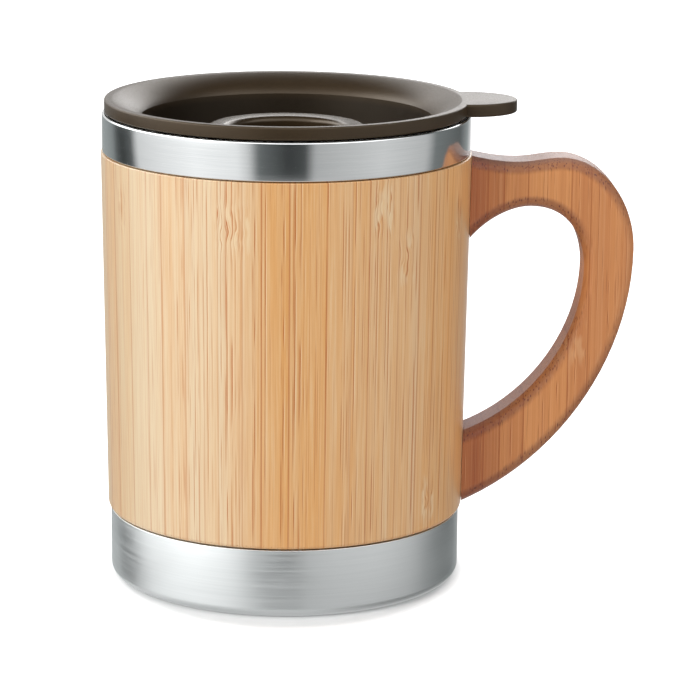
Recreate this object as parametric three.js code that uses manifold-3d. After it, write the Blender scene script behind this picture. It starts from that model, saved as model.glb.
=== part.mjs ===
// Double-walled cup: two steel walls, a bamboo sleeve and handle, and a press-in lid with a turning closure.
// Millimetres, +Z up. The origin is on the cup's axis at the table, and the handle stands along +X.
import * as THREE from 'three';
import { mergeVertices, toCreasedNormals } from 'three/addons/utils/BufferGeometryUtils.js';
import Module from 'manifold-3d';

const wasm = await Module();
wasm.setup();

// Heights of the parts that stack up on the table
const baseHeight = 15.6;
const sleeveHeight = 82.3;
const bandHeight = 8.5;
const lidEdgeHeight = 2.9;
const linerFloorHeight = 9;
const tubeFootHeight = 3;

// Radii and wall thicknesses
const sleeveTopRadius = 42;
const sleeveTaper = 1.2;
const sleeveWall = 3;
const sheet = 0.5;
const airGap = 1.8;
const bandSetback = 0.3;
const baseSetback = 0.6;
const lidSetback = 0.5;

// Clearances
const seatGap = 0.3;
const glueGap = 0.3;
const weldGap = 0.1;
const runningGap = 0.15;
const screwGap = 0.1;

// Rounded corners
const sleeveFootRound = 1;
const sleeveTopRound = 0.4;
const lipRound = 0.4;
const baseRound = 2.2;
const linerFloorRound = 6;
const lipFlat = 1.4;

// Handle board, and where its outline passes: reach is measured out from the sleeve's top radius,
// drop down from the sleeve's top, and rise up from the sleeve's foot
const boardThickness = 12;
const boardEdgeRound = 3;
const rootReach = -6;
const rootDrop = 0.35;
const upperRootHeight = 20.65;
const lowerRootHeight = 16.1;
const dipReach = 10.2;
const dipDrop = 1.9;
const crestReach = 20.3;
const crestDrop = 0.95;
const outerReach = 37.2;
const outerDrop = 22.2;
const holeTopReach = 13.4;
const holeTopDrop = 12.1;
const holeSideReach = 25.9;
const holeSideDrop = 26.2;

// How far the handle's long curves keep their direction, as a share of their run, and the slope they end on
const sideFullness = 0.43;
const footFullness = 0.6;
const outerFootSlope = 0.36;
const innerFootSlope = 0.25;
const outerFootDrop = 1.1;

// Handle screws
const screwRadius = 1.5;
const screwHeadRadius = 3;
const screwHeadHeight = 1.7;
const screwLength = 16;
const screwPoint = 3;
const screwSink = 0.15;
const driveSlotWidth = 0.8;
const driveSlotLength = 3.4;
const driveSlotDepth = 0.9;
const upperScrewDrop = 8.2;
const lowerScrewRise = 13;

// Lid
const lidWall = 1.6;
const lidEdgeRound = 0.4;
const crestFlat = 1;
const bellDrop = 4.2;
const recessDepth = 12;
const recessDraft = 0.6;
const plugGap = 1.3;
const plugFootRound = 1.2;
const underFillet = 3.1;
const tabReach = 11;
const tabHalfWidth = 9.8;

// Lid seal and the ribs that keep it in place
const sealDrop = 4.5;
const sealHeight = 3.2;
const sealBack = 0.5;
const ribDepth = 0.7;
const ribWidth = 1;

// Turning closure
const dialSideGap = 0.5;
const dialPlate = 1.6;
const portMargin = 2.4;
const portWidth = 6;
const portHalfAngle = 11;
const portAzimuth = -90;
const dialTravel = 90;
const ventRadius = 1.2;
const gripSetback = 5.3;
const gripWidth = 4.7;
const gripDrop = 6.2;
const gripRound = 0.8;
const gripWall = 1.5;
const barWidth = 3.5;
const barHeight = 2.2;
const stopRadius = 1;
const stopAzimuth = 45;
const stopEngagement = 0.7;
const stemRadius = 3;
const stemTail = 1;
const clipThickness = 1;
const clipGrooveDepth = 0.7;
const clipOuterRadius = 5.5;
const clipOpening = 45;

// Fineness of round shapes
const roundSegments = 48;
const bendSteps = 3;
const outlineSteps = 9;
const boreSegments = 20;
const creaseAngle = 0.6;

// Levels in the cup's frame, which starts at the table
const sleeveFoot = baseHeight + seatGap;
const sleeveTop = sleeveFoot + sleeveHeight;
const bandFoot = sleeveTop + seatGap;
const lip = bandFoot + bandHeight;

// Levels in the lid's frame, which starts at the lip
const lidUnder = seatGap;
const lidTop = lidUnder + lidEdgeHeight;
const lidFloor = lidTop - recessDepth;
const lidFloorUnder = lidFloor - lidWall;
const sealTop = -sealDrop;
const sealFoot = sealTop - sealHeight;

// Levels in the closure's frame, which starts at the lid's floor
const dialUnder = runningGap;
const dialTop = dialUnder + dialPlate;
const gripTop = recessDepth - gripDrop;
const clipTop = -lidWall - runningGap;

// Radii that follow from the sizes above
const bandRadius = sleeveTopRadius - bandSetback;
const baseRadius = sleeveTopRadius - sleeveTaper - baseSetback;
const lidRadius = bandRadius - lidSetback;

const sleeveRadius = (z) => sleeveTopRadius - sleeveTaper * (sleeveTop - z) / sleeveHeight;
const boreRadius = (z) => sleeveRadius(z) - sleeveWall;
const tubeRadius = (z) => boreRadius(z) - glueGap;
const linerRadius = (z) => tubeRadius(z) - sheet - airGap - sheet;

const mouthRadius = linerRadius(sleeveTop);
const lipEdgeRadius = bandRadius - sheet - weldGap;
const flare = lipEdgeRadius - lipFlat - mouthRadius;
const plugRadius = mouthRadius - plugGap;
const recessRadius = plugRadius - lidWall;
const recessFloorRadius = recessRadius - recessDraft;
const dialRadius = recessFloorRadius - dialSideGap;
const portOuterRadius = dialRadius - portMargin;
const portInnerRadius = portOuterRadius - portWidth;
const gripOuterRadius = portInnerRadius - gripSetback;
const gripInnerRadius = gripOuterRadius - gripWidth;
const stopTrackRadius = (gripOuterRadius + portInnerRadius) / 2;
const clipGrooveRadius = stemRadius - clipGrooveDepth;

const radians = THREE.MathUtils.degToRad;
const at = (x, y) => new THREE.Vector2(x, y);

// Points along a quarter round or any other elliptical bend, angles in degrees.
function bend(x, y, wide, tall, from, to) {
  const curve = new THREE.EllipseCurve(x, y, wide, tall, radians(from), radians(to), to < from);
  return curve.getPoints(bendSteps);
}

// Points along a chain of cubic curves; every curve after the first starts where the last one ended.
function chain(start, ...curves) {
  const points = [];
  let from = start;
  for (const [leave, arrive, to] of curves) {
    const curve = new THREE.CubicBezierCurve(from, leave, arrive, to);
    points.push(...curve.getPoints(outlineSteps).slice(0, -1));
    from = to;
  }
  points.push(from);
  return points;
}

// A closed three.js surface as a solid that can be joined and cut.
function solidOf(geometry) {
  geometry.deleteAttribute('normal');
  geometry.deleteAttribute('uv');
  const merged = mergeVertices(geometry);
  const corners = merged.index.array;
  const faces = [];
  for (let i = 0; i < corners.length; i += 3) {
    const [a, b, c] = corners.slice(i, i + 3);
    if (a !== b && b !== c && c !== a) faces.push(a, b, c);
  }
  const vertProperties = merged.attributes.position.array;
  return new wasm.Manifold(new wasm.Mesh({ numProp: 3, vertProperties, triVerts: new Uint32Array(faces) }));
}

// A solid turned about the cup's axis; its profile runs anticlockwise, radius across and height up.
function turned(profile, segments = roundSegments) {
  return solidOf(new THREE.LatheGeometry(profile, segments).rotateX(Math.PI / 2));
}

// The same for a ring, whose profile closes on itself.
function turnedRing(profile) {
  return turned([...profile, profile[0]]);
}

// A flat plate standing from one height to another, its edges rounded where a radius is given.
function plate(outline, from, to, round = 0) {
  const geometry = new THREE.ExtrudeGeometry(new THREE.Shape(outline), {
    depth: to - from - 2 * round,
    bevelEnabled: round > 0,
    bevelThickness: round,
    bevelSize: round,
    bevelOffset: -round,
    bevelSegments: bendSteps,
  });
  return solidOf(geometry.translate(0, 0, from + round));
}

// Outline of a sector of a ring about the axis, between two radii and two azimuths in degrees.
function sector(inner, outer, from, to) {
  const arc = (radius, a, b) => new THREE.EllipseCurve(0, 0, radius, radius, radians(a), radians(b), b < a);
  return [...arc(outer, from, to).getPoints(boreSegments), ...arc(inner, to, from).getPoints(boreSegments)];
}

// An upright round bar or bore at a radius and azimuth about the axis.
function bar(radius, from, to, offset = 0, azimuth = 0) {
  const geometry = new THREE.CylinderGeometry(radius, radius, to - from, boreSegments).rotateX(Math.PI / 2);
  const angle = radians(azimuth);
  return solidOf(geometry.translate(offset * Math.cos(angle), offset * Math.sin(angle), (from + to) / 2));
}

// The closure rides on the lid and the lid on the cup
const cup = new THREE.Group();
const lid = new THREE.Group();
const closure = new THREE.Group();
cup.add(lid);
lid.add(closure);
lid.position.z = lip;
closure.position.z = lidFloor;

// Adds one finished piece with its own surface to a group.
function addPiece(group, name, solid, color, roughness, metalness) {
  const mesh = solid.getMesh();
  const geometry = new THREE.BufferGeometry();
  geometry.setAttribute('position', new THREE.BufferAttribute(mesh.vertProperties, 3));
  geometry.setIndex(new THREE.BufferAttribute(mesh.triVerts, 1));
  const material = new THREE.MeshStandardMaterial({ color, roughness, metalness });
  const piece = new THREE.Mesh(toCreasedNormals(geometry, creaseAngle), material);
  piece.name = name;
  group.add(piece);
  return piece;
}

// Base cup: a pressed steel cup whose rim turns in under the sleeve and is welded to the tube
function baseCup() {
  const outer = baseRadius;
  const inner = baseRadius - sheet;
  const rimRadius = tubeRadius(baseHeight) + weldGap;
  const innerRound = baseRound - sheet;
  return turned([
    at(0, 0),
    ...bend(outer - baseRound, baseRound, baseRound, baseRound, -90, 0),
    at(outer, baseHeight),
    at(rimRadius, baseHeight),
    at(rimRadius, baseHeight - sheet),
    at(inner, baseHeight - sheet),
    ...bend(outer - baseRound, baseRound, innerRound, innerRound, 0, -90),
    at(0, sheet),
  ]);
}

// Outer shell: the polished band at the mouth, stepped in to a tube that runs down behind the sleeve
function outerShell() {
  const tubeFoot = tubeRadius(tubeFootHeight);
  const tubeTop = tubeRadius(sleeveTop);
  return turnedRing([
    at(tubeFoot - sheet, tubeFootHeight),
    at(tubeFoot, tubeFootHeight),
    at(tubeTop, bandFoot),
    at(bandRadius, bandFoot),
    ...bend(bandRadius - lipRound, lip - lipRound, lipRound, lipRound, 0, 90),
    at(bandRadius - sheet, lip),
    at(bandRadius - sheet, bandFoot + sheet),
    at(tubeTop - sheet, bandFoot + sheet),
  ]);
}

// Inner liner: the drawn cup that holds the drink, flared out at the lip to meet the band
function innerLiner() {
  const floor = linerFloorHeight;
  const wallFoot = floor + linerFloorRound;
  const footRadius = linerRadius(wallFoot);
  const outerFlare = flare - sheet;
  const flareRadius = mouthRadius + flare;
  const outerRound = linerFloorRound + sheet;
  return turned([
    at(0, floor - sheet),
    ...bend(footRadius - linerFloorRound, wallFoot, outerRound, outerRound, -90, 0),
    at(mouthRadius + sheet, sleeveTop),
    ...bend(flareRadius, lip - flare, outerFlare, outerFlare, 180, 90),
    at(lipEdgeRadius, lip - sheet),
    at(lipEdgeRadius, lip),
    ...bend(flareRadius, lip - flare, flare, flare, 90, 180),
    at(mouthRadius, sleeveTop),
    ...bend(footRadius - linerFloorRound, wallFoot, linerFloorRound, linerFloorRound, 0, -90),
    at(0, floor),
  ]);
}

// Screws lie along +X, their heads let into the sleeve's bore and their points in the handle's roots
const screwHeights = { upper: sleeveTop - upperScrewDrop, lower: sleeveFoot + lowerScrewRise };

// A countersunk form about the Z axis, head down, grown by a gap where it is used to cut a hole.
function screwForm(gap, headTail) {
  const shank = screwRadius + gap;
  const head = screwHeadRadius + gap;
  const shankEnd = screwLength - screwPoint;
  return turned([
    at(0, -headTail),
    at(head, -headTail),
    at(head, 0),
    at(shank, screwHeadHeight),
    at(shank, shankEnd + gap),
    at(0, screwLength + 2 * gap),
  ], boreSegments);
}

// How far from the cup's axis a screw's head lies at a height.
const headRadius = (z) => boreRadius(z) + screwSink;

// The countersunk hole that a screw needs, laid out along +X and open to the sleeve's bore.
function screwHole(height) {
  return screwForm(screwGap, sleeveWall).rotate([0, 90, 0]).translate([headRadius(height), 0, height]);
}

// Handle screw, still upright: its head has a cross for the driver
function handleScrew() {
  const wide = new THREE.BoxGeometry(driveSlotLength, driveSlotWidth, 2 * driveSlotDepth);
  const tall = new THREE.BoxGeometry(driveSlotWidth, driveSlotLength, 2 * driveSlotDepth);
  return screwForm(0, 0).subtract(solidOf(wide)).subtract(solidOf(tall));
}

// Bamboo sleeve: a turned tube with a softened foot and top edge, drilled for the handle screws
function bambooSleeve() {
  const footRadius = sleeveRadius(sleeveFoot);
  const foot = sleeveFootRound;
  const top = sleeveTopRound;
  const tube = turnedRing([
    at(boreRadius(sleeveFoot), sleeveFoot),
    ...bend(footRadius - foot, sleeveFoot + foot, foot, foot, -90, 0),
    ...bend(sleeveTopRadius - top, sleeveTop - top, top, top, 0, 90),
    at(boreRadius(sleeveTop), sleeveTop),
  ]);
  return tube.subtract(screwHole(screwHeights.upper)).subtract(screwHole(screwHeights.lower));
}

// Handle: a bamboo board cut to a C, its roots hollowed to sit on the sleeve and drilled for the screws
function handle() {
  const top = (reach, drop) => at(sleeveTopRadius + reach, sleeveTop - drop);
  const foot = (reach, rise) => at(sleeveTopRadius + reach, sleeveFoot + rise);
  // Where a long side heads for on its way down, and where the foot that it runs into comes from
  const side = (reach, drop, rise) => top(reach, drop + sideFullness * (sleeveHeight - drop - rise));
  const footRun = (reach, rise, slope) => {
    const run = footFullness * (reach - rootReach);
    return foot(rootReach + run, rise + slope * run);
  };
  const outside = chain(
    top(-1, rootDrop),
    [top(2.5, rootDrop + 0.8), top(dipReach - 4, dipDrop), top(dipReach, dipDrop)],
    [top(dipReach + 3.8, dipDrop), top(crestReach - 3.7, crestDrop), top(crestReach, crestDrop)],
    [top(crestReach + 9, crestDrop), top(outerReach, outerDrop - 11.6), top(outerReach, outerDrop)],
    [
      side(outerReach, outerDrop, -outerFootDrop),
      footRun(outerReach, -outerFootDrop, outerFootSlope),
      foot(rootReach, -outerFootDrop),
    ],
  );
  const holeSide = top(holeSideReach, holeSideDrop);
  const holeTop = top(holeTopReach, holeTopDrop);
  const upperRootFoot = rootDrop + upperRootHeight;
  const inside = chain(
    foot(rootReach, lowerRootHeight),
    [
      footRun(holeSideReach, lowerRootHeight, innerFootSlope),
      side(holeSideReach, holeSideDrop, lowerRootHeight),
      holeSide,
    ],
    [top(holeSideReach, holeSideDrop - 3.5), top(holeSideReach - 1.5, holeTopDrop), holeTop],
    [top(holeTopReach - 4.9, holeTopDrop), top(2.3, upperRootFoot - 5.4), top(-1.5, upperRootFoot)],
  );
  const rootEnd = [top(rootReach, upperRootFoot), top(rootReach, rootDrop)];
  const outline = [...outside, ...inside, ...rootEnd].reverse();
  const half = boardThickness / 2;
  const board = plate(outline, -half, half, boardEdgeRound).rotate([90, 0, 0]);
  const seatRadius = (z) => sleeveRadius(z) + glueGap;
  const seat = turned([
    at(0, 0),
    at(seatRadius(0), 0),
    at(seatRadius(lip), lip),
    at(0, lip),
  ]);
  const drilled = board.subtract(screwHole(screwHeights.upper)).subtract(screwHole(screwHeights.lower));
  return drilled.subtract(seat);
}

// Lid: a flange with a thumb tab, a bell-mouth recess, and a plug with ribs for the seal
function lidBody() {
  const rim = new THREE.EllipseCurve(0, 0, lidRadius, lidRadius).getPoints(roundSegments).slice(1);
  const tab = new THREE.EllipseCurve(lidRadius, 0, tabReach, tabHalfWidth).getPoints(roundSegments).slice(1);
  const disc = plate(rim, lidUnder, lidTop, lidEdgeRound);
  const flange = disc.add(plate(tab, lidUnder, lidTop, lidEdgeRound));

  const ribRadius = plugRadius + ribDepth;
  const lowerRib = sealFoot - runningGap;
  const upperRib = sealTop + runningGap;
  const filletRadius = plugRadius + underFillet;
  const plug = turned([
    at(0, lidFloorUnder),
    ...bend(plugRadius - plugFootRound, lidFloorUnder + plugFootRound, plugFootRound, plugFootRound, -90, 0),
    at(plugRadius, lowerRib - ribWidth),
    at(ribRadius, lowerRib - ribWidth),
    at(ribRadius, lowerRib),
    at(plugRadius, lowerRib),
    at(plugRadius, upperRib),
    at(ribRadius, upperRib),
    at(ribRadius, upperRib + ribWidth),
    at(plugRadius, upperRib + ribWidth),
    ...bend(filletRadius, lidUnder - underFillet, underFillet, underFillet, 180, 90),
    at(filletRadius, lidUnder + lidEdgeHeight / 2),
    at(0, lidUnder + lidEdgeHeight / 2),
  ]);

  const bellRadius = lidRadius - crestFlat;
  const recess = turned([
    at(0, lidFloor),
    at(recessFloorRadius, lidFloor),
    ...bend(bellRadius, lidTop - bellDrop, bellRadius - recessRadius, bellDrop, 180, 90),
    at(bellRadius, lidTop + 1),
    at(0, lidTop + 1),
  ]);

  const stopTop = lidFloor + dialUnder + stopEngagement;
  const stop = bar(stopRadius, lidFloor - lidWall / 2, stopTop, stopTrackRadius, stopAzimuth);
  const port = portCutter(portAzimuth, lidFloorUnder, lidFloor);
  const stemHole = bar(stemRadius + runningGap, lidFloorUnder - 1, lidFloor + 1);
  return flange.add(plug).subtract(recess).subtract(port).subtract(stemHole).add(stop);
}

// The drinking port and the vent opposite it, as cut through a floor or through the dial's plate
function portCutter(azimuth, from, to) {
  const opening = sector(portInnerRadius, portOuterRadius, azimuth - portHalfAngle, azimuth + portHalfAngle);
  const vent = bar(ventRadius, from - 1, to + 1, (portInnerRadius + portOuterRadius) / 2, azimuth + 180);
  return plate(opening, from - 1, to + 1).add(vent);
}

// Lid seal: a silicone ring with two soft lips
function lidSeal() {
  const inner = plugRadius + screwGap;
  const back = inner + sealBack;
  const outer = mouthRadius - runningGap;
  const middle = (sealFoot + sealTop) / 2;
  const lipHeight = sealHeight / 4;
  return turnedRing([
    at(inner, sealFoot),
    at(back, sealFoot),
    at(outer, sealFoot + lipHeight),
    at(back, middle),
    at(outer, sealTop - lipHeight),
    at(back, sealTop),
    at(inner, sealTop),
  ]);
}

// Closure dial: a plate with a raised grip ring, hollow below, on a stem through the lid's floor
function closureDial() {
  const hollowTop = gripTop - gripWall;
  const outer = gripOuterRadius;
  const inner = gripInnerRadius;
  const body = turned([
    at(0, clipTop - clipThickness - stemTail),
    at(stemRadius, clipTop - clipThickness - stemTail),
    at(stemRadius, clipTop - clipThickness - runningGap),
    at(clipGrooveRadius, clipTop - clipThickness - runningGap),
    at(clipGrooveRadius, clipTop),
    at(stemRadius, clipTop),
    at(stemRadius, dialUnder),
    at(inner + gripWall, dialUnder),
    at(inner + gripWall, hollowTop),
    at(outer - gripWall, hollowTop),
    at(outer - gripWall, dialUnder),
    at(dialRadius, dialUnder),
    at(dialRadius, dialTop),
    at(outer, dialTop),
    ...bend(outer - gripRound, gripTop - gripRound, gripRound, gripRound, 0, 90),
    ...bend(inner + gripRound, gripTop - gripRound, gripRound, gripRound, 90, 180),
    at(inner, dialTop),
    at(0, dialTop),
  ]);
  const fingerBar = new THREE.BoxGeometry(2 * inner + gripWall, barWidth, barHeight + dialPlate / 2);
  fingerBar.translate(0, 0, dialTop + barHeight / 2 - dialPlate / 4);
  const trackWidth = stopRadius + 2 * runningGap;
  const slack = THREE.MathUtils.radToDeg(trackWidth / stopTrackRadius);
  const track = sector(stopTrackRadius - trackWidth, stopTrackRadius + trackWidth,
    stopAzimuth - dialTravel - slack, stopAzimuth + slack);
  const stopTrack = plate(track, dialUnder - 1, dialUnder + stopEngagement + runningGap);
  const port = portCutter(portAzimuth - dialTravel, dialUnder, dialTop);
  return body.add(solidOf(fingerBar)).subtract(stopTrack).subtract(port);
}

// Dial clip: an open ring pushed sideways into the stem's groove below the lid's floor
function dialClip() {
  const ring = sector(clipGrooveRadius + screwGap, clipOuterRadius, clipOpening, 360 - clipOpening);
  return plate(ring, clipTop - clipThickness, clipTop - runningGap / 2);
}

addPiece(cup, 'outer_shell', outerShell(), 0xd9dad9, 0.14, 1);
addPiece(cup, 'inner_liner', innerLiner(), 0xc9cbca, 0.3, 1);
addPiece(cup, 'base_cup', baseCup(), 0xb4b8b8, 0.42, 1);
addPiece(cup, 'bamboo_sleeve', bambooSleeve(), 0xdcaf75, 0.5, 0);
addPiece(cup, 'handle', handle(), 0xbe7d4b, 0.5, 0);
for (const [place, height] of Object.entries(screwHeights)) {
  const screw = addPiece(cup, place + '_handle_screw', handleScrew(), 0xaeb0ad, 0.35, 1);
  screw.rotation.y = Math.PI / 2;
  screw.position.set(headRadius(height), 0, height);
}
addPiece(lid, 'lid_body', lidBody(), 0x433a2f, 0.42, 0);
addPiece(lid, 'lid_seal', lidSeal(), 0xd8d4ca, 0.6, 0);
addPiece(closure, 'closure_dial', closureDial(), 0x473d32, 0.42, 0);
addPiece(closure, 'dial_clip', dialClip(), 0x3b332a, 0.5, 0);

export default cup;
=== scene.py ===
# Double-walled cup with a bamboo sleeve and handle and a press-in lid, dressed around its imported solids.
# Metres, +Z up, the cup's axis on Z and its handle along +X. Sizes are written in millimetres.
import math

import bpy
from mathutils import Matrix, Vector


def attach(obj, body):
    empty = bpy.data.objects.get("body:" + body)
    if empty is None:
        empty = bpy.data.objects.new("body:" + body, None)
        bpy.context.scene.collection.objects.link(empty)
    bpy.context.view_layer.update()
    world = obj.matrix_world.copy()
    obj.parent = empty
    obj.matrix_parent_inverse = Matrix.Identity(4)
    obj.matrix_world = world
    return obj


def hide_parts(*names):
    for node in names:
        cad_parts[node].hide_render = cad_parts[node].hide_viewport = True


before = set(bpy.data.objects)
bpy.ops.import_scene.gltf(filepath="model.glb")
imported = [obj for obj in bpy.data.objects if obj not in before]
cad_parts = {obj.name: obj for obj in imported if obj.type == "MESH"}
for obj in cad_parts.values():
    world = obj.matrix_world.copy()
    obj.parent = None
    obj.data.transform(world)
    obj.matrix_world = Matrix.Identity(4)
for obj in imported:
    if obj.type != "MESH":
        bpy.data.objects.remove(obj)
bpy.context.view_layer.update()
scene = bpy.context.scene

# Inner liner
# The drawn cup that holds the drink, flared out at the lip and welded there to the outer wall.
# Stainless steel, satin inside from the drawing tool, with faint rings that run round the wall.
MM = 0.001
merge_within = 2e-6
sheet = 0.5
lip = 107.0
sleeve_top = 98.2
mouth_radius = 35.9
lip_edge_radius = 41.1
flare = 3.8
liner_floor = 9.0
liner_floor_round = 6.0
liner_foot_radius = 34.7


def node(tree, kind, inputs=(), operation=None, out=0, **settings):
    """Adds a node with its settings and gives one of its outputs, or all of them if out is None.
    Inputs are values or links, in order or by name. Shader nodes go by their short names."""
    made = tree.nodes.new(kind if "Node" in kind else "ShaderNode" + kind)
    for name, value in settings.items():
        setattr(made, name, value)
    if operation:
        made.operation = operation
    for name, value in inputs.items() if isinstance(inputs, dict) else enumerate(inputs):
        if isinstance(value, bpy.types.NodeSocket):
            tree.links.new(value, made.inputs[name])
        else:
            made.inputs[name].default_value = value
    return made.outputs if out is None else made.outputs[out]


def paint(hex_colour):
    """A linear colour from an sRGB hex value."""
    shades = [int(hex_colour[i:i + 2], 16) / 255 for i in (1, 3, 5)]
    return [s / 12.92 if s <= 0.04045 else ((s + 0.055) / 1.055) ** 2.4 for s in shades] + [1.0]


def new_finish(name):
    """A new material and its empty node tree."""
    made = bpy.data.materials.new(name)
    made.use_nodes = True
    made.node_tree.nodes.clear()
    return made, made.node_tree


def end_finish(tree, look):
    """Ends a material with its surface shader, whose inputs are given by name."""
    surface = node(tree, "BsdfPrincipled", look)
    node(tree, "OutputMaterial", {"Surface": surface}, out=None)


def bend(x, y, radius, start, stop, steps=8, tall=None):
    """Points along a bend about (x, y), with angles in degrees; tall makes it elliptical."""
    tall = radius if tall is None else tall
    turns = [math.radians(start + (stop - start) * i / steps) for i in range(steps + 1)]
    return [(x + radius * math.cos(t), y + tall * math.sin(t)) for t in turns]


def put(name, data):
    """Puts a mesh, lamp or camera into the scene."""
    made = bpy.data.objects.new(name, data)
    scene.collection.objects.link(made)
    return made


def put_mesh(name, corners, faces=()):
    """Puts a new mesh into the scene, with its corners in metres."""
    mesh = bpy.data.meshes.new(name)
    mesh.from_pydata(corners, [], faces)
    return put(name, mesh)


def bake_shape(shaper, name):
    """Turns an object and its modifiers into a plain mesh object at the origin."""
    depsgraph = bpy.context.evaluated_depsgraph_get()
    mesh = bpy.data.meshes.new_from_object(shaper.evaluated_get(depsgraph))
    bpy.data.objects.remove(shaper)
    mesh.name = name
    return put(name, mesh)


def new_tree(name, inputs):
    """A Geometry Nodes tree with named inputs: the tree, the inputs' identifiers, and what they give."""
    tree = bpy.data.node_groups.new(name, "GeometryNodeTree")
    tree.is_modifier = True
    keys = {}
    for label, kind in inputs.items():
        socket = tree.interface.new_socket(label, in_out="INPUT", socket_type="NodeSocket" + kind)
        keys[label] = socket.identifier
    tree.interface.new_socket("Shape", in_out="OUTPUT", socket_type="NodeSocketGeometry")
    return tree, keys, node(tree, "NodeGroupInput", out=None)


def end_tree(tree, shape, finish):
    """Ends a tree: its instances become real and take their finish."""
    real = node(tree, "GeometryNodeRealizeInstances", {"Geometry": shape})
    finished = node(tree, "GeometryNodeSetMaterial", {"Geometry": real, "Material": finish})
    node(tree, "NodeGroupOutput", {"Shape": finished}, out=None)


def run_tree(blank, tree, keys, values, name):
    """Shapes a blank by a tree, whose inputs are set by their identifiers, and bakes it."""
    shaping = blank.modifiers.new("shaping", "NODES")
    shaping.node_group = tree
    for label, value in values.items():
        shaping[keys[label]] = value
    return bake_shape(blank, name)


# The lathe: a profile of points is copied round the cup's axis and its seam and poles are closed.
lathe, lathe_keys, asked = new_tree("turned_on_a_lathe", {
    "Profile": "Geometry", "Steps Round": "Int", "Crease Angle": "Float", "Finish": "Material",
})
rows = node(lathe, "GeometryNodeAttributeDomainSize", {"Geometry": asked["Profile"]}, out="Point Count")
columns = node(lathe, "Math", [asked["Steps Round"], 1.0], "ADD")
blank_grid = node(lathe, "GeometryNodeMeshGrid", {"Vertices X": columns, "Vertices Y": rows}, out="Mesh")
place = node(lathe, "GeometryNodeInputIndex")
share = node(lathe, "Math", [place, rows], "DIVIDE")
column = node(lathe, "Math", [share], "FLOOR")
row = node(lathe, "Math", [place, rows], "MODULO")
part_turn = node(lathe, "Math", [column, asked["Steps Round"]], "DIVIDE")
angle = node(lathe, "Math", [part_turn, math.tau], "MULTIPLY")
sampled = node(lathe, "GeometryNodeSampleIndex", {
    "Geometry": asked["Profile"], "Value": node(lathe, "GeometryNodeInputPosition"), "Index": row,
}, data_type="FLOAT_VECTOR", domain="POINT")
turned_point = node(lathe, "VectorRotate", {"Vector": sampled, "Angle": angle}, rotation_type="Z_AXIS")
shaped = node(lathe, "GeometryNodeSetPosition", {"Geometry": blank_grid, "Position": turned_point})
closed = node(lathe, "GeometryNodeMergeByDistance", {"Geometry": shaped, "Distance": merge_within})
smooth = node(lathe, "GeometryNodeSetShadeSmooth", {"Geometry": closed, "Shade Smooth": True}, domain="FACE")
edge_turn = node(lathe, "GeometryNodeInputMeshEdgeAngle", out="Unsigned Angle")
is_crease = node(lathe, "FunctionNodeCompare", {"A": edge_turn, "B": asked["Crease Angle"]},
                 data_type="FLOAT", operation="GREATER_THAN")
creased = node(lathe, "GeometryNodeSetShadeSmooth",
               {"Geometry": smooth, "Selection": is_crease, "Shade Smooth": False}, domain="EDGE")
end_tree(lathe, creased, asked["Finish"])


def turn(name, profile, finish, steps=192, crease=32):
    """A piece turned about the axis. Its profile of (radius, height) is anticlockwise, outer wall upwards."""
    blank = put_mesh(name + "_profile", [(r * MM, 0, z * MM) for r, z in profile])
    sizes = {"Steps Round": steps, "Crease Angle": math.radians(crease), "Finish": finish}
    return run_tree(blank, lathe, lathe_keys, sizes, name)


# A Mix of colours takes its share at input 0 and the two colours at 6 and 7.
in_colour = {"data_type": "RGBA", "out": 2}


def streaks(tree, spot, often, detail, rough=0.5):
    """Noise drawn out along a grain; often says how many times it changes along each axis."""
    drawn_out = node(tree, "Mapping", {"Vector": spot, "Scale": often})
    return node(tree, "TexNoise", {"Vector": drawn_out, "Scale": 1.0, "Detail": detail, "Roughness": rough},
                out="Fac")


def steel(name, light, dark, rough, ring_mm, ring_run_mm, depth_mm):
    """Stainless steel whose fine rings run round the cup: ring_mm apart, each about ring_run_mm long."""
    made, tree = new_finish(name)
    spot = node(tree, "TexCoord", out="Object")
    along, across = 1 / (ring_run_mm * MM), 1 / (ring_mm * MM)
    rings = streaks(tree, spot, (along, along, across), 3.0)
    # Clouds of handling, about 11 mm wide, change the gloss a little.
    cloud = node(tree, "TexNoise", {"Vector": spot, "Scale": 90.0, "Detail": 2.0}, out="Fac")
    tone = node(tree, "Mix", {0: rings, 6: paint(dark), 7: paint(light)}, **in_colour)
    both = node(tree, "Math", [rings, cloud], "ADD")
    gloss = node(tree, "MapRange", [both, 0.6, 1.4, rough * 0.8, rough * 1.25])
    relief = node(tree, "Bump", {"Height": rings, "Distance": depth_mm * MM})
    end_finish(tree, {"Metallic": 1.0, "Base Color": tone, "Roughness": gloss, "Normal": relief})
    return made


# Drawn stainless: a satin grey that the drawing tool left in rings, drawn coarser here so that they show.
drawn_steel = steel("drawn_stainless_steel", "#e6e8e7", "#d2d4d4", rough=0.34, ring_mm=0.35, ring_run_mm=30,
                    depth_mm=0.00004)
liner_wall_foot = liner_floor + liner_floor_round
liner_bottom_x = liner_foot_radius - liner_floor_round
inner_liner = turn("drink_liner", [
    (0, liner_floor - sheet),
    *bend(liner_bottom_x, liner_wall_foot, liner_floor_round + sheet, -90, 0),
    (mouth_radius + sheet, sleeve_top),
    *bend(mouth_radius + flare, lip - flare, flare - sheet, 180, 90),
    (lip_edge_radius, lip - sheet),
    (lip_edge_radius, lip),
    *bend(mouth_radius + flare, lip - flare, flare, 90, 180),
    (mouth_radius, sleeve_top),
    *bend(liner_bottom_x, liner_wall_foot, liner_floor_round, 0, -90),
    (0, liner_floor),
], drawn_steel)
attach(inner_liner, "cup")
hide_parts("inner_liner")

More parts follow.
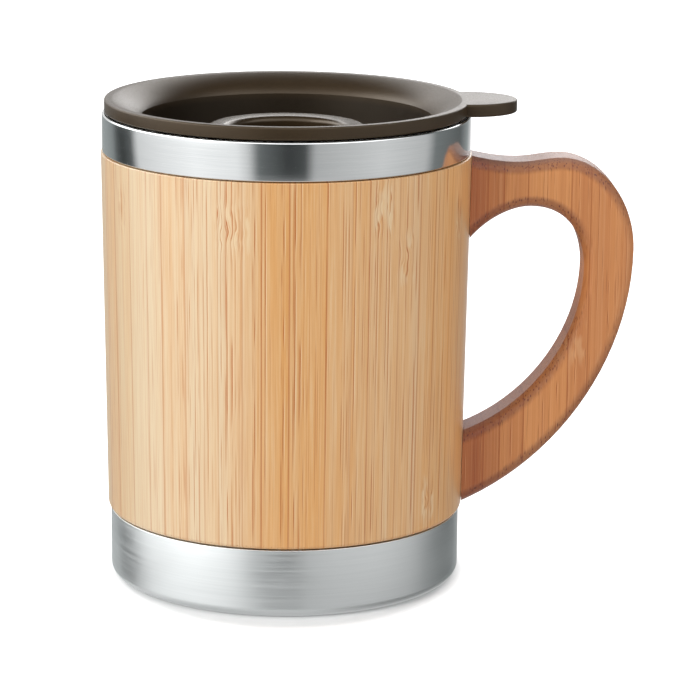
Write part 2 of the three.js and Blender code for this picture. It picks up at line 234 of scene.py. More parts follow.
# Outer shell
# The outer steel wall: a band at the mouth, stepped in to a plain tube that runs down behind the sleeve.
# The band is buffed to a mirror over fine brush lines, so it shows the studio with soft edges.
band_radius = 41.7
band_foot = 98.4
band_foot_round = 0.3
lip_round = 0.4
tube_foot = 3.0
tube_foot_radius = 37.31
tube_top_radius = 38.7


def corner(x, y, radius, start, steps=8):
    """Points along the quarter round of a corner at (x, y), from the angle start on, in degrees."""
    middle = math.radians(start + 45)
    centre = x - math.copysign(radius, math.cos(middle)), y - math.copysign(radius, math.sin(middle))
    return bend(*centre, radius, start, start + 90, steps)


# Buffed stainless: a mirror with faint lines round it, drawn coarser than real ones so that they show.
buffed_steel = steel("buffed_stainless_steel", "#f2f4f4", "#e0e4e5", rough=0.11, ring_mm=0.22, ring_run_mm=14,
                     depth_mm=0.0012)
outer_shell = turn("outer_wall", [
    (tube_foot_radius - sheet, tube_foot),
    (tube_foot_radius, tube_foot),
    (tube_top_radius, band_foot),
    *corner(band_radius, band_foot, band_foot_round, -90, 4),
    *corner(band_radius, lip, lip_round, 0, 6),
    (band_radius - sheet, lip),
    (band_radius - sheet, band_foot + sheet),
    (tube_top_radius - sheet, band_foot + sheet),
    (tube_foot_radius - sheet, tube_foot),
], buffed_steel)
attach(outer_shell, "cup")
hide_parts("outer_shell")

# Base cup
# The pressed steel cup at the foot; its rim turns in under the sleeve and is welded to the tube.
# Satin steel, blasted fine, so what it mirrors is blurred to soft bands of light and dark.
base_height = 15.6
base_radius = 40.2
base_round = 2.2
rim_edge_round = 0.12
rim_radius = 37.62
foot_hollow = 0.25
hollow_radius = base_radius - 14
foot_ring_radius = base_radius - 12

# Satin stainless: grey and soft, with the lines of the blasting drawn coarser so that they show.
satin_steel = steel("satin_stainless_steel", "#eef1f1", "#e0e4e4", rough=0.37, ring_mm=0.4, ring_run_mm=30,
                    depth_mm=0.0004)
base_cup = turn("base_cup_pressing", [
    (0, foot_hollow),
    (hollow_radius, foot_hollow),
    (foot_ring_radius, 0),
    *corner(base_radius, 0, base_round, -90, 12),
    *corner(base_radius, base_height, rim_edge_round, 0, 4),
    (rim_radius, base_height),
    (rim_radius, base_height - sheet),
    (base_radius - sheet, base_height - sheet),
    *bend(base_radius - base_round, base_round, base_round - sheet, 0, -90),
    (foot_ring_radius, sheet),
    (hollow_radius, foot_hollow + sheet),
    (0, foot_hollow + sheet),
], satin_steel)
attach(base_cup, "cup")
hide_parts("base_cup")

# Bamboo sleeve
# A tube of bamboo staves glued edge to edge, turned to a slight taper and softened at both ends.
# Natural bamboo under satin lacquer: upright fibres, glue lines between staves, and marks of culm joints.
sleeve_foot = 15.9
sleeve_top_radius = 42.0
sleeve_foot_radius = 40.8
sleeve_wall = 3.0
sleeve_foot_round = 1.0
sleeve_top_round = 0.25
stave_mm = 6.2
screw_sink_radius = 3.1
screw_hole_radius = 1.55
screw_sink_depth = 1.7
screw_head_lift = 0.15
sink_clear = 4.0
hole_end = 50.0
# How often each pattern of the bamboo changes per mm: across the fibres, through them and along them.
weave_often = (0.5, 0.5, 0.18)
cloud_often = (0.4, 0.4, 0.006)
hair_often = (2.6, 2.6, 0.007)
bundle_often = (2.2, 2.2, 0.07)
# A soft range eases in and out at its ends.
soft = {"interpolation_type": "SMOOTHSTEP"}
# A culm joint shows in full this close to its height in mm, and fades out by the second distance.
joint_full, joint_gone = 2.0, 8.0


def off_by(tree, value, centre):
    """How far a value is from a centre."""
    beside = node(tree, "Math", [value, centre], "SUBTRACT")
    return node(tree, "Math", [beside], "ABSOLUTE")


def in_mm(tree, length):
    """A length in mm from one in metres."""
    return node(tree, "Math", [length, 1 / MM], "MULTIPLY")


def bamboo(name, colours, across, depth, staves, joints, rough, coat, tint):
    """Bamboo whose fibres stand along Z. Across and depth give the distances square to the fibres, in mm.
    Joints lists the culm joints to be seen: place across, height, and half the width of the stave."""
    made, tree = new_finish(name)
    texture = node(tree, "TexCoord", out=None)
    axes = node(tree, "SeparateXYZ", [texture["Object"]], out=None)
    width = across(tree, axes)
    inward = depth(tree, axes)
    height = in_mm(tree, axes[2])
    shade, richness, lot, glue = staves(tree, width)

    # Each stave comes from another place in the culm, so its fibres are others.
    slip = node(tree, "Math", [lot[0], 70.0, inward], "MULTIPLY_ADD")
    at_joint = 0.0
    for place, level, half_width in joints:
        in_stave = node(tree, "MapRange", [off_by(tree, width, place), half_width + 0.4, half_width - 0.4])
        near = node(tree, "MapRange", [off_by(tree, height, level), joint_gone, joint_full], **soft)
        here = node(tree, "Math", [in_stave, near], "MULTIPLY")
        at_joint = node(tree, "Math", [here, at_joint], "MAXIMUM")
    spot = node(tree, "CombineXYZ", [width, slip, height])

    # At a culm joint the fibres weave past each other; elsewhere they only wander a little.
    weave = streaks(tree, spot, weave_often, 1.0)
    sway = node(tree, "Math", [weave, 0.5], "SUBTRACT")
    swing = node(tree, "Math", [at_joint, 2.4, 0.12], "MULTIPLY_ADD")
    wander = node(tree, "Math", [sway, swing, width], "MULTIPLY_ADD")
    fibre = node(tree, "CombineXYZ", [wander, slip, height])

    # Fibres: clouds a few mm wide and hairs of a third of a mm.
    cloud = streaks(tree, fibre, cloud_often, 2.0)
    hair = streaks(tree, fibre, hair_often, 3.0, 0.65)

    # Strands: thin dark lines, each with its own place, width and strength, that fade in and out along it.
    apart_mm = colours["strand_mm"]
    first = node(tree, "Math", [lot[0], 40.0], "MULTIPLY")
    count = node(tree, "Math", [wander, 1 / apart_mm, first], "MULTIPLY_ADD")
    strand = node(tree, "TexVoronoi", {"W": count, "Scale": 1.0}, out=None, voronoi_dimensions="1D")
    own = node(tree, "SeparateColor", [strand["Color"]], out=None)
    half_width = node(tree, "Math", [own[0], 0.1 / apart_mm, 0.09 / apart_mm], "MULTIPLY_ADD")
    beside = node(tree, "Math", [count, strand["W"]], "SUBTRACT")
    widths_off = node(tree, "Math", [beside, half_width], "DIVIDE")
    apart = node(tree, "Math", [widths_off], "ABSOLUTE")
    core = node(tree, "MapRange", [apart, 1.1, 0.5], **soft)
    flank = node(tree, "MapRange", [off_by(tree, widths_off, 1.9), 1.0, 0.2], **soft)
    own_place = node(tree, "Math", [own[1], 60.0], "MULTIPLY")
    own_height = node(tree, "Math", [height, 1 / colours["strand_run_mm"]], "MULTIPLY")
    run_spot = node(tree, "CombineXYZ", {0: own_place, 2: own_height})
    run = node(tree, "TexNoise", {"Vector": run_spot, "Scale": 1.0, "Detail": 1.0}, out="Fac")
    awake = node(tree, "MapRange", [run, 0.4, 0.6], **soft)
    lasting = node(tree, "Math", [awake, own[2]], "MULTIPLY")
    rich = node(tree, "Math", [lasting, richness], "MULTIPLY")
    woven = node(tree, "Math", [at_joint, own[2]], "MULTIPLY")
    stronger = node(tree, "Math", [rich, woven], "MAXIMUM")
    strength = node(tree, "Math", [stronger, 1.2], "MULTIPLY", use_clamp=True)
    line = node(tree, "Math", [core, strength], "MULTIPLY")
    rim = node(tree, "Math", [flank, strength], "MULTIPLY")
    bundle_spot = node(tree, "Mapping", {"Vector": fibre, "Scale": bundle_often})
    bundle = node(tree, "TexVoronoi", {"Vector": bundle_spot, "Scale": 1.0}, out="Distance")
    dash = node(tree, "MapRange", [bundle, 0.34, 0.1], **soft)

    # Where a rounded edge cuts across the fibres, the end grain has drunk more stain and the bundles are
    # dots. Where a face cuts square across the fibres, a pale grey is painted in: a painted sheen.
    facing = node(tree, "SeparateXYZ", [texture["Normal"]], out="Z")
    steep = node(tree, "Math", [facing], "ABSOLUTE")
    cut_across = node(tree, "MapRange", [steep, 0.01, 0.38], **soft)
    dotted = node(tree, "Math", [dash, 0.7, colours["end_share"]], "MULTIPLY_ADD", use_clamp=True)
    stained = node(tree, "Math", [cut_across, dotted], "MULTIPLY")
    # Painted sheen: faces square to the fibres are painted a pale grey.
    sheen_paint_mask = node(tree, "MapRange", [steep, 0.55, 0.85, 0, colours["painted_sheen_share"]])

    # Colour: the stave's shade (on the sleeve partly painted light), and over it hairs, lines, dashes, the
    # pale ridge of a joint, the glue, the end grain and the painted sheen on square faces.
    cloudy = node(tree, "Math", [cloud, 0.8, -0.4], "MULTIPLY_ADD")
    mixed = node(tree, "Math", [shade, cloudy], "ADD", use_clamp=True)
    haired = node(tree, "MapRange", [hair, 0.47, 0.72, 0, colours["hair_share"]])
    bleached = node(tree, "MapRange", [hair, 0.5, 0.3, 0, colours["bleach_share"]])
    rimmed, lined, dashed = (
        node(tree, "Math", [mark, colours[amount]], "MULTIPLY")
        for mark, amount in ((rim, "rim_share"), (line, "line_share"), (dash, "dash_share")))
    ridge = node(tree, "MapRange", [weave, 0.5, 0.62, 0, 0.5])
    ridged = node(tree, "Math", [at_joint, ridge], "MULTIPLY")
    tone = paint(colours["pale"])
    for amount, layer in ((mixed, "deep"), (haired, "hair"), (bleached, "bleach"), (rimmed, "bleach"),
                          (lined, "line"), (dashed, "dash"), (ridged, "ridge"), (glue, "line"),
                          (stained, "end"), (sheen_paint_mask, "painted_sheen")):
        tone = node(tree, "Mix", {0: amount, 6: tone, 7: paint(colours[layer])}, **in_colour)

    gloss = node(tree, "MapRange", [hair, 0.3, 0.7, rough * 0.85, rough * 1.2])
    pores = node(tree, "Math", [dash, cut_across], "MULTIPLY")
    sunk = node(tree, "Math", [pores, -1.5, hair], "MULTIPLY_ADD")
    grain = node(tree, "Math", [line, -0.5, sunk], "MULTIPLY_ADD")
    relief = node(tree, "Bump", {"Height": grain, "Strength": 0.5, "Distance": 0.03 * MM})
    end_finish(tree, {"Base Color": tone, "Roughness": gloss, "Normal": relief, "Coat Weight": coat,
                      "Coat Roughness": 0.3, "Specular Tint": paint(tint)})
    return made


def round_the_sleeve(tree, axes):
    """Distance round the sleeve's outside, in mm."""
    azimuth = node(tree, "Math", [axes[1], axes[0]], "ARCTAN2")
    return node(tree, "Math", [azimuth, sleeve_top_radius], "MULTIPLY")


def into_the_sleeve(tree, axes):
    """Distance from the sleeve's axis, in mm."""
    flat = node(tree, "CombineXYZ", [axes[0], axes[1]])
    return in_mm(tree, node(tree, "VectorMath", [flat], "LENGTH", out="Value"))


def fill_ramp(ramp, start, span, stops):
    """Sets the stops of a colour ramp over a span, given in order as places in it and their colours."""
    elements = ramp.node.color_ramp.elements
    for spot, colour in stops:
        place = (spot - start) / span
        stop = elements.new(place) if 0 < place < 1 else elements[-int(place)]
        stop.color = colour


# Round the sleeve, by azimuth in degrees: how deep the staves' colour is, and how rich they are in strands;
# partly their own tone, partly painted light, palest toward the left lamp.
sleeve_tone_and_painted_light = {
    -180: (0.15, 0.6), -162: (0.3, 0.6), -150: (0.03, 0.15), -133: (0.12, 0.35), -118: (0.2, 0.8),
    -108: (0.5, 1.0), -92: (0.8, 1.0), -78: (0.95, 1.0), -68: (0.75, 1.0), -45: (0.65, 0.8), -32: (0.9, 0.9),
    0: (0.7, 0.7), 60: (0.3, 0.9), 130: (0.6, 0.8), 180: (0.15, 0.6),
}


def sleeve_staves(tree, width):
    """The staves: their shade and richness (partly painted light), three lot numbers, and the glue line at
    their edges.
    """
    half_round = math.pi * sleeve_top_radius
    turned_by = node(tree, "MapRange", [width, -half_round, half_round])
    ramp = node(tree, "ValToRGB", [turned_by])
    fill_ramp(ramp, -180, 360, [(a, (deep, rich, 0, 1)) for a, (deep, rich) in sleeve_tone_and_painted_light.items()])
    levels = node(tree, "SeparateColor", [ramp], out=None)
    count = node(tree, "Math", [width, 1 / stave_mm, 71.35], "MULTIPLY_ADD")
    cells = {"W": count, "Scale": 1.0, "Randomness": 0.75}
    stave = node(tree, "TexVoronoi", cells, out="Color", voronoi_dimensions="1D")
    lot = node(tree, "SeparateColor", [stave], out=None)
    edge = node(tree, "TexVoronoi", cells, out="Distance", voronoi_dimensions="1D",
                feature="DISTANCE_TO_EDGE")
    seam = node(tree, "MapRange", [edge, 0.045, 0.01])
    strength = node(tree, "Math", [lot[2], 0.7, 0.2], "MULTIPLY_ADD")
    glue = node(tree, "Math", [seam, strength], "MULTIPLY")
    own = node(tree, "Math", [lot[2], 0.3, -0.15], "MULTIPLY_ADD")
    shade = node(tree, "Math", [own, levels[0]], "ADD")
    return shade, levels[1], lot, glue


sleeve_colours = {
    "pale": "#e5cda8", "deep": "#e6aa64", "hair": "#d3924f", "bleach": "#f5deb6", "line": "#bd6c28",
    "dash": "#bf7a3c", "ridge": "#f0d9b0", "end": "#b98048", "painted_sheen": "#cdb79c", "painted_sheen_share": 0.0,
    "hair_share": 0.3, "bleach_share": 0.3, "rim_share": 0.6, "line_share": 1.0, "dash_share": 0.08,
    "end_share": 0.1, "strand_mm": 0.65, "strand_run_mm": 18,
}
# Culm joints round the sleeve: azimuth in degrees, height, and half the stave's width.
sleeve_joints = [
    (-152, 88.5, 2), (-108, 88, 4.2), (-61, 91, 2.8), (-53, 80, 2.8), (-24, 86.5, 2), (-40, 23, 2.4),
    (32, 60, 3), (61, 34, 3), (92, 86, 4), (124, 28, 3), (150, 71, 3),
]
# Natural bamboo: straw to honey, stave by stave, with thin brown strands under a satin lacquer, and painted
# light on its paler side.
natural_bamboo = bamboo(
    "natural_bamboo", sleeve_colours, round_the_sleeve, into_the_sleeve, sleeve_staves,
    [(math.radians(a) * sleeve_top_radius, z, w) for a, z, w in sleeve_joints],
    rough=0.36, coat=0.7, tint="#ffffff")
bore_top = sleeve_top_radius - sleeve_wall
bore_foot = sleeve_foot_radius - sleeve_wall
# Heights of the two screws that hold the handle, and how far from the axis their heads lie.
screw_seats = {}
for level in (90.0, 28.9):
    bore = bore_foot + (bore_top - bore_foot) * (level - sleeve_foot) / (sleeve_top - sleeve_foot)
    screw_seats[level] = bore + screw_head_lift


def walls(count, rows):
    """Faces between rows of points, each row a closed ring of that count."""
    sides = [(i, (i + 1) % count) for i in range(count)]
    return [[k + i, k + j, k + count + j, k + count + i]
            for k in range(0, count * (rows - 1), count) for i, j in sides]


def board(name, outline, section, finish, stand=lambda x, y, z: (x, y, z)):
    """A board with an anticlockwise outline, drawn in by the section's (inset, height) steps.
    Stand turns its corners into place."""
    count = len(outline)
    inwards = []
    for i in range(count):
        before, here, after = (Vector(outline[(i + k) % count]) for k in (-1, 0, 1))
        arriving = (here - before).normalized()
        leaving = (after - here).normalized()
        middle = Vector((-arriving.y - leaving.y, arriving.x + leaving.x)).normalized()
        # A sharp corner goes in by no more than two and a half times the inset.
        inwards.append(middle / max(0.4, middle.dot(Vector((-leaving.y, leaving.x)))))
    corners = []
    for inset, level in section:
        corners += [stand(p[0] + inset * n.x, p[1] + inset * n.y, level) for p, n in zip(outline, inwards)]
    ends = [[*range(count)][::-1], [*range(count * (len(section) - 1), count * len(section))]]
    made = put_mesh(name, [Vector(c) * MM for c in corners], ends + walls(count, len(section)))
    made.data.materials.append(finish)
    return made


def rework(piece, kind, **settings):
    """Changes a piece by one modifier with its settings; the piece keeps its name."""
    name = piece.name
    piece.name = name + "_blank"
    change = piece.modifiers.new("change", kind)
    for setting, value in settings.items():
        setattr(change, setting, value)
    bpy.context.view_layer.update()
    return bake_shape(piece, name)


def join(piece, tool, way, crease=20):
    """Cuts a tool's shape out of a piece, or adds it, and shades the result smooth up to its creases."""
    done = rework(piece, "BOOLEAN", operation=way, solver="EXACT", object=tool)
    bpy.data.objects.remove(tool)
    done.data.shade_smooth()
    done.data.set_sharp_from_angle(angle=math.radians(crease))
    return done


def disc(x, y, radius, steps=24, tall=None):
    """Outline of a round form about (x, y); tall makes it elliptical."""
    return bend(x, y, radius, 0, 360 - 360 / steps, steps - 1, tall)


def along_x(name, level, radius, steps):
    """A round tool along +X at a height, its (inset, reach) steps taken from that radius."""
    return board(name, disc(0, level, radius), steps, natural_bamboo, lambda y, z, x: (x, y, z))


bamboo_sleeve = turn("turned_bamboo_sleeve", [
    (bore_foot, sleeve_foot),
    *corner(sleeve_foot_radius, sleeve_foot, sleeve_foot_round, -90),
    *corner(sleeve_top_radius, sleeve_top, sleeve_top_round, 0),
    (bore_top, sleeve_top),
    (bore_foot, sleeve_foot),
], natural_bamboo, steps=240)
for level, reach in screw_seats.items():
    narrowing = screw_sink_radius - screw_hole_radius
    sink = along_x("screw_sink", level, screw_sink_radius, [
        (0, reach - sink_clear), (0, reach), (narrowing, reach + screw_sink_depth), (narrowing, hole_end)])
    bamboo_sleeve = join(bamboo_sleeve, sink, "DIFFERENCE")
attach(bamboo_sleeve, "cup")
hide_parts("bamboo_sleeve")

# Handle
# A board of steamed bamboo strips, sawn to a C, its edges rounded over and its roots hollowed to the sleeve.
# Steaming turns the sugar in the bamboo to caramel; the lacquer shines where it is seen at a low angle.
board_thickness = 12.0
edge_round_in = 3.0
edge_round_turn = 65
handle_seat_gap = 0.08
pilot_straight = 14.0
pilot_length = 16.5
pilot_tip_inset = 1.4
board_start = 40.0
board_span = 40.0


def curve(start, leave, arrive, stop, steps=24):
    """Points along one cubic curve, without its last point."""
    made = []
    for i in range(steps):
        t = i / steps
        weights = ((1 - t) ** 3, 3 * t * (1 - t) ** 2, 3 * t * t * (1 - t), t ** 3)
        points = start, leave, arrive, stop
        made.append(tuple(sum(w * p[k] for w, p in zip(weights, points)) for k in (0, 1)))
    return made


# Where each glued strip of the board starts, in mm from the cup's axis, and how deep its shade is.
strip_shades = {board_start: 0.74, 45.5: 0.54, 49.2: 0.22, 54.6: 0.02, 64.5: 0.26, 69.0: 0.24}


def board_strips(tree, width):
    """The board's strips: their shade and richness, three lot numbers, and the glue line at their edges."""
    reach = node(tree, "MapRange", [width, board_start, board_start + board_span])
    ramp = node(tree, "ValToRGB", [reach])
    ramp.node.color_ramp.interpolation = "CONSTANT"
    fill_ramp(ramp, board_start, board_span, [
        (start, (level, 0.7 + 0.05 * i, 0.5, 1)) for i, (start, level) in enumerate(strip_shades.items())])
    lot = node(tree, "SeparateColor", [ramp], out=None)
    gaps = [off_by(tree, width, start) for start in list(strip_shades)[1:]]
    nearest = gaps[0]
    for gap in gaps[1:]:
        nearest = node(tree, "Math", [nearest, gap], "MINIMUM")
    glue = node(tree, "MapRange", [nearest, 0.22, 0.05, 0, 0.6])
    return lot[0], 1.0, lot, glue


handle_colours = {
    "pale": "#dd985d", "deep": "#a85d37", "hair": "#bd7541", "bleach": "#efb885", "line": "#a85c2c",
    "dash": "#8c4a24", "ridge": "#e6b281", "end": "#67382c", "painted_sheen": "#a58c86", "painted_sheen_share": 0.4,
    "hair_share": 0.3, "bleach_share": 0.25, "rim_share": 0.5, "line_share": 0.7, "dash_share": 0.3,
    "end_share": 0.52, "strand_mm": 1.3, "strand_run_mm": 7,
}
# Steamed bamboo: caramel strips with short strands, dark dotted end grain round the rounded edges, and a grey
# painted sheen on faces square to the fibres.
steamed_bamboo = bamboo(
    "steamed_bamboo", handle_colours, lambda tree, axes: in_mm(tree, axes[0]),
    lambda tree, axes: in_mm(tree, axes[1]), board_strips, [(65.0, 55.0, 3.6)],
    rough=0.39, coat=0.0, tint="#c9d2ec")
outline = [
    (30, 97.85),
    *curve((41, 97.85), (44.5, 97.05), (48.2, 96.3), (52.2, 96.3)),
    *curve((52.2, 96.3), (56, 96.3), (58.6, 97.25), (62.3, 97.25)),
    *curve((62.3, 97.25), (71.3, 97.25), (79.2, 87.6), (79.2, 76)),
    *curve((79.2, 76), (79.2, 49.7), (61.9, 24.1), (36, 14.8)),
    (30, 12.65),
    (30, 30.5),
    *curve((36, 32), (55.1, 36.8), (67.9, 54.8), (67.9, 72)),
    *curve((67.9, 72), (67.9, 75.5), (66.4, 86.1), (55.4, 86.1)),
    *curve((55.4, 86.1), (50.5, 86.1), (44.3, 82.6), (40.5, 77.2)),
    (30, 62.3),
]
round_radius = edge_round_in / math.sin(math.radians(edge_round_turn))
front = bend(edge_round_in, round_radius - board_thickness / 2, round_radius, -90, -90 - edge_round_turn, 10)
section = front + [(inset, -level) for inset, level in reversed(front)]
handle = board("bamboo_handle", outline[::-1], section, steamed_bamboo, lambda x, z, y: (x, -y, z))
# The hollow of the roots goes on past both ends of the sleeve, with the same taper.
seat_foot, seat_top = 5, 100
foot_taper, top_taper = 0.16, 0.03
seat_cone = turn("handle_seat", [
    (0, seat_foot),
    (sleeve_foot_radius - foot_taper + handle_seat_gap, seat_foot),
    (sleeve_top_radius + top_taper + handle_seat_gap, seat_top),
    (0, seat_top),
], steamed_bamboo, steps=240)
handle = join(handle, seat_cone, "DIFFERENCE")
for level, reach in screw_seats.items():
    pilot = along_x("screw_pilot", level, screw_hole_radius, [
        (0, reach), (0, reach + pilot_straight), (pilot_tip_inset, reach + pilot_length)])
    handle = join(handle, pilot, "DIFFERENCE")
# The shading leans on the large faces, so that flats stay flat beside their rounded edges.
handle = rework(handle, "WEIGHTED_NORMAL", keep_sharp=True, weight=100)
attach(handle, "cup")
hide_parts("handle")

# Handle screws
# Two countersunk wood screws, driven from the sleeve's bore into the handle's roots before the gluing.
# Zinc-plated steel with a rolled thread and a cross recess.
screw_length = 16.0
screw_head_radius = 3.0
screw_head_edge = 0.25
screw_head_height = 1.7
thread_radius = 1.5
thread_root_radius = 1.1
thread_pitch = 1.3
thread_point = 3.0
thread_tip_share = 0.06
thread_rows = 70
thread_row = 0.2
screw_steps = 28
recess_half_length = 1.7
recess_half_width = 0.4
recess_depth = 0.9
recess_clear = 1.0


def rectangle(wide, tall):
    """Outline of a rectangle about the axis, by half its width and height."""
    return [(-wide, -tall), (wide, -tall), (wide, tall), (-wide, tall)]


# Zinc plate: a bright grey with a soft shine.
plated_steel = steel("zinc_plated_steel", "#c3c6c4", "#a9adab", rough=0.3, ring_mm=0.4, ring_run_mm=3,
                     depth_mm=0.002)
screw_rows = [(0.0, 0.0), (screw_head_radius, 0.0), (screw_head_radius, screw_head_edge),
              (thread_radius, screw_head_height)]
screw_rows += [(None, screw_head_height + thread_row * (i + 1)) for i in range(thread_rows)]
screw_corners = []
for radius, along in screw_rows:
    for i in range(screw_steps):
        turn_share = i / screw_steps
        if radius is None:
            crest = abs(((along / thread_pitch - turn_share) % 1) * 2 - 1) ** 2
            taper = min(1.0, max(thread_tip_share, (screw_length - along) / thread_point))
            reach = (thread_root_radius + (thread_radius - thread_root_radius) * crest) * taper
        else:
            reach = radius
        across_head = reach * math.cos(math.tau * turn_share), reach * math.sin(math.tau * turn_share)
        screw_corners.append(Vector((*across_head, along)) * MM)
screw_tip = [(len(screw_rows) - 1) * screw_steps + i for i in range(screw_steps)]
one_screw = put_mesh("one_screw", screw_corners, [*walls(screw_steps, len(screw_rows)), screw_tip])
one_screw = rework(one_screw, "WELD", merge_threshold=merge_within)
for wide, tall in ((recess_half_length, recess_half_width), (recess_half_width, recess_half_length)):
    recess = board("recess", rectangle(wide, tall), [(0, -recess_clear), (0, recess_depth)], plated_steel)
    one_screw = join(one_screw, recess, "DIFFERENCE", crease=30)

# The screws are set at their seats, laid along +X.
fixing, fixing_keys, asked = new_tree("screws_in_their_seats", {
    "Seats": "Geometry", "Screw": "Object", "Lay Along": "Vector", "Finish": "Material",
})
shape = node(fixing, "GeometryNodeObjectInfo", {"Object": asked["Screw"]}, out="Geometry")
lay = node(fixing, "FunctionNodeAlignRotationToVector", {"Vector": asked["Lay Along"]}, axis="Z")
placed = node(fixing, "GeometryNodeInstanceOnPoints",
              {"Points": asked["Seats"], "Instance": shape, "Rotation": lay})
end_tree(fixing, placed, asked["Finish"])
seats = put_mesh("screw_seats", [(reach * MM, 0, level * MM) for level, reach in screw_seats.items()])
screws = run_tree(seats, fixing, fixing_keys, {"Screw": one_screw, "Lay Along": (1.0, 0.0, 0.0),
                                               "Finish": plated_steel}, "handle_screws")
bpy.data.objects.remove(one_screw)
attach(screws, "cup")
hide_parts("upper_handle_screw", "lower_handle_screw")

# Lid seal
# A silicone ring with two soft lips, stretched over the lid's plug between two ribs; it grips the mouth.
# Translucent white silicone, moulded, with a dry, faintly dusty surface.
seal_top = 102.5
seal_foot = 99.3
seal_inner_radius = 34.7
seal_back_radius = 35.2
seal_lip_radius = 35.75
seal_lip_round = 0.15
seal_groove_round = 0.1


def moulded(name, light, dark, rough, grain_mm, tint, painted_shade_mm=None):
    """A moulded surface: grain_mm is the size of the mould's texture, tint the colour of its shine.
    Given two heights in mm, it is painted darker downwards between them: painted shade."""
    made, tree = new_finish(name)
    spot = node(tree, "TexCoord", out="Object")
    grain = node(tree, "TexNoise", {"Vector": spot, "Scale": 1 / (grain_mm * MM), "Detail": 2.0}, out="Fac")
    # Clouds about 7 mm wide, from the flow of the plastic.
    cloud = node(tree, "TexNoise", {"Vector": spot, "Scale": 140.0, "Detail": 3.0}, out="Fac")
    tone = node(tree, "Mix", {0: cloud, 6: paint(dark), 7: paint(light)}, **in_colour)
    gloss = node(tree, "MapRange", [grain, 0.3, 0.7, rough * 0.85, rough * 1.2])
    relief = node(tree, "Bump", {"Height": grain, "Strength": 0.35, "Distance": 0.06 * MM})
    if painted_shade_mm:
        # Painted shade: darker towards the bottom, down in a recess.
        height = node(tree, "SeparateXYZ", [spot], out="Z")
        painted_shade_share = node(tree, "MapRange", [height, painted_shade_mm[0] * MM, painted_shade_mm[1] * MM, 0, 0.75])
        tone = node(tree, "Mix", {0: painted_shade_share, 6: tone, 7: (0, 0, 0, 1)}, **in_colour)
    end_finish(tree, {"Base Color": tone, "Roughness": gloss, "Normal": relief, "Specular Tint": paint(tint)})
    return made


# White silicone: a dry, milky surface without a clear shine.
white_silicone = moulded("white_silicone", "#dedad0", "#cfcac0", rough=0.55, grain_mm=0.2, tint="#ffffff")
seal_lip_height = (seal_top - seal_foot) / 4
seal_middle = (seal_top + seal_foot) / 2
lid_seal = turn("silicone_seal", [
    (seal_inner_radius, seal_foot),
    (seal_back_radius, seal_foot),
    *bend(seal_lip_radius - seal_lip_round, seal_foot + seal_lip_height, seal_lip_round, -60, 60, 4),
    *bend(seal_back_radius + seal_groove_round, seal_middle, seal_groove_round, 240, 120, 3),
    *bend(seal_lip_radius - seal_lip_round, seal_top - seal_lip_height, seal_lip_round, -60, 60, 4),
    (seal_back_radius, seal_top),
    (seal_inner_radius, seal_top),
    (seal_inner_radius, seal_foot),
], white_silicone)
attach(lid_seal, "seal")
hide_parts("lid_seal")

# Lid
# One moulding: a flange with a thumb tab over the handle, a bell-mouth recess, and a plug for the seal.
# Brown polypropylene with the fine spark-eroded texture of its mould: matt, but it shines at a low angle.
lid_top = 110.2
lid_under = 107.3
lid_floor = 98.2
lid_floor_under = 96.6
lid_radius = 41.2
lid_edge_round = 0.4
crest_margin = 0.06
bell_radius = 39.6
bell_drop = 4.2
bell_start = 33.8
bell_stop = 77
recess_radius = 33.0
recess_floor_radius = 32.4
plug_radius = 34.6
plug_foot_round = 1.2
rib_radius = 35.3
rib_width = 1.0
running_gap = 0.15
under_fillet = 3.1
stem_hole_radius = 3.15
tab_reach = 11.0
tab_half_width = 9.8
tab_clear_radius = bell_radius + 0.6
tab_clear_heights = 100, 112
tab_sink = 0.02
tab_steps = 96
port_inner_radius = 23.5
port_outer_radius = 29.5
port_half_angle = 11
port_azimuth = -90
vent_radius = 1.2
stop_radius = 1.0
stop_track_radius = 20.85
stop_azimuth = 45
stop_height = 0.85
stop_root = 97.5
floor_cut = [(0, 95), (0, 99)]


def sector(inner, outer, start, stop, steps=24):
    """Outline of a sector of a ring about the axis, anticlockwise, with azimuths in degrees."""
    return bend(0, 0, outer, start, stop, steps) + bend(0, 0, inner, start, stop, steps)[::-1]


def round_spot(radius, reach, azimuth):
    """Outline of a round bore or stud at a reach and azimuth from the axis."""
    return disc(reach * math.cos(math.radians(azimuth)), reach * math.sin(math.radians(azimuth)), radius)


def openings(azimuth):
    """Outlines of the drinking port at an azimuth and of the vent opposite it."""
    port = sector(port_inner_radius, port_outer_radius, azimuth - port_half_angle, azimuth + port_half_angle)
    return port, round_spot(vent_radius, (port_inner_radius + port_outer_radius) / 2, azimuth + 180)


def rib(foot):
    """Profile of one of the plug's ribs, from its foot upwards."""
    top = foot + rib_width
    return [(plug_radius, foot), (rib_radius, foot), (rib_radius, top), (plug_radius, top)]


bell_in = [math.sin(math.radians(a)) for a in (bell_start, bell_stop)]
bell_up = [math.cos(math.radians(a)) for a in (bell_start, bell_stop)]
bell_wide = (bell_radius - recess_radius) / (bell_in[1] - bell_in[0])
bell_tall = bell_drop / (bell_up[0] - bell_up[1])
